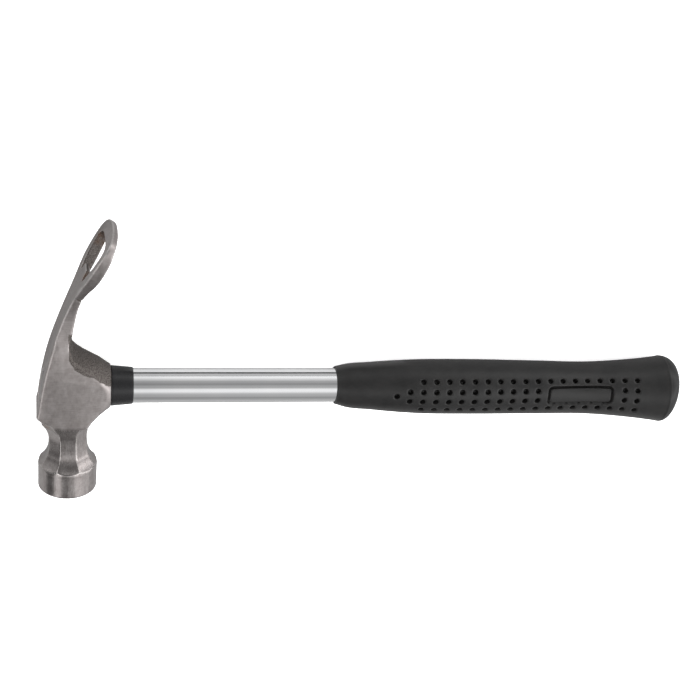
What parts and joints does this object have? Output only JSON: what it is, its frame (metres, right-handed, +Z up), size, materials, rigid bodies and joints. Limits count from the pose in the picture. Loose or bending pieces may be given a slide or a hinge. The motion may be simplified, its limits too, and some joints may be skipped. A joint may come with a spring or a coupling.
{
  "type": "claw hammer",
  "caption": "Claw hammer with a round-faced forged head, a claw closed into a nail-pulling eye, a chromed tube handle and a dimpled black rubber grip.",
  "frame": {"origin": "bottom centre of the bounding box, on the plane that the hammer lies on when it rests on its side", "axes": "+X along the handle from head to butt, +Y from the poll towards the claw, +Z up, square to the hammer's side"},
  "size_m": [0.329, 0.139, 0.036],
  "materials": {
    "forged_steel": "ground bare steel, fine straight grinding lines, dark as-forged patches",
    "chrome_plate": "bright chrome plate",
    "plug_steel": "ground flush with the head",
    "collar_plastic": "black satin plastic",
    "grip_rubber": "black matte rubber",
    "cap_plastic": "black matte plastic"
  },
  "bodies": {
    "root": {"head": "forged_steel", "handle_tube": "chrome_plate", "tube_expander_plug": "plug_steel", "neck_collar": "collar_plastic", "grip": "grip_rubber", "tube_end_cap": "cap_plastic"}
  },
  "joints": []
}
